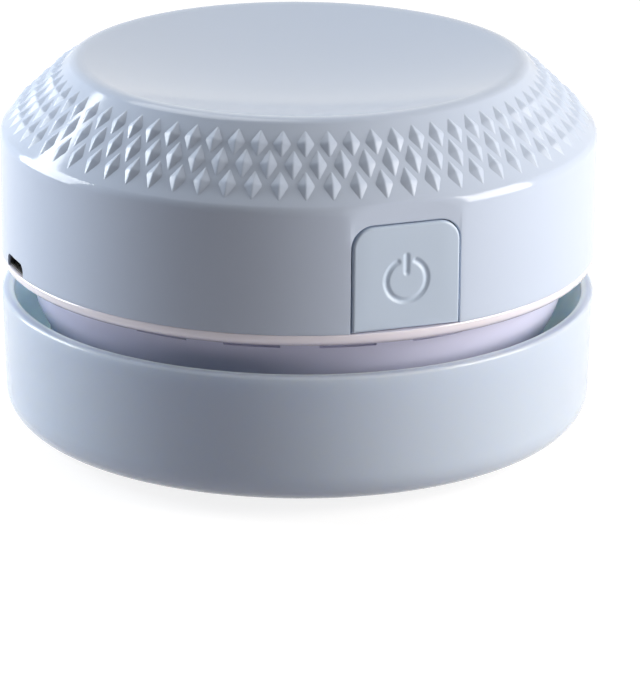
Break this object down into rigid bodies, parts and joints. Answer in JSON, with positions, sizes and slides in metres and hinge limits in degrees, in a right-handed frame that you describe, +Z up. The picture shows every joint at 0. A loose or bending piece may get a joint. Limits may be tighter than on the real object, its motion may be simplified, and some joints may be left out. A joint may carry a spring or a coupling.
{
  "type": "desktop mini vacuum cleaner",
  "caption": "Round battery desk vacuum: twist-off motor head with dished top, studded cone and push button over an open exhaust waist and a dust bin with a brushed floor inlet.",
  "frame": {"origin": "on the table, under the centre of the round body", "axes": "+Z up; the floor inlet's long side lies along the X axis and the button is 20 degrees from -Y towards +X"},
  "size_m": [0.086, 0.086, 0.0551],
  "materials": {
    "casing": "gloss moulded",
    "casing_band": "gloss moulded",
    "casing_button": "satin gloss moulded",
    "casing_inner": "gloss moulded",
    "rubber_dark": "matt",
    "rubber_pale": "matt",
    "bristle": "nylon bristle",
    "filter_cloth": "fine woven",
    "screw_steel": "zinc plated",
    "motor_steel": "drawn",
    "bronze": "sintered",
    "brass": "tinned",
    "ferrite": "sintered ferrite",
    "cell_wrap": "shrink sleeve",
    "nickel": "strip",
    "board": "solder mask",
    "socket_steel": "nickel plated",
    "black_plastic": "moulded",
    "lead_red": "insulation",
    "lead_black": "insulation",
    "shaft_steel": "ground",
    "lamination": "stacked",
    "fan_plastic": "moulded",
    "plunger_plastic": "moulded"
  },
  "bodies": {
    "dust_bin": {"lower_shell": "casing", "glide_feet": "rubber_dark", "brush_plate": "casing_inner", "brush_tufts": "bristle", "dust_cup": "casing_inner", "base_screws": "screw_steel"},
    "filter": {"filter_frame": "casing_inner", "filter_mesh": "filter_cloth", "filter_seal": "rubber_pale"},
    "head": {"top_shell": "casing", "motor_plate": "casing_band", "fan_housing": "casing_inner", "motor_can": "motor_steel", "motor_bushing": "bronze", "motor_end_cap": "black_plastic", "motor_terminals": "brass", "motor_magnets": "ferrite", "battery_cell": "cell_wrap", "battery_tabs": "nickel", "control_board": "board", "usb_socket": "socket_steel", "usb_tongue": "black_plastic", "push_switch": "black_plastic", "control_chips": "black_plastic", "motor_leads": "lead_red", "battery_leads": "lead_black", "housing_screws": "screw_steel", "motor_screws": "screw_steel", "fan_housing_screws": "screw_steel", "board_screws": "screw_steel"},
    "rotor": {"motor_shaft": "shaft_steel", "motor_armature": "lamination", "fan_impeller": "fan_plastic"},
    "button": {"power_button": "casing_button", "switch_plunger": "plunger_plastic"}
  },
  "joints": [
    {"name": "head_turn", "type": "hinge", "parent": "dust_bin", "child": "filter", "pos_m": [0, 0, 0.016], "axis": [0, 0, -1], "range_deg": [0, 20]},
    {"name": "head_lift", "type": "slide", "parent": "filter", "child": "head", "axis": [0, 0, 1], "range_m": [0, 0.04]},
    {"name": "fan_spin", "type": "hinge", "parent": "head", "child": "rotor", "pos_m": [0, 0, 0.03], "axis": [0, 0, 1], "continuous": true},
    {"name": "button_press", "type": "slide", "parent": "head", "child": "button", "axis": [-0.342, 0.9397, 0], "range_m": [0, 0.001], "stiffness_N_per_m": 500, "springref_m": -0.001}
  ]
}
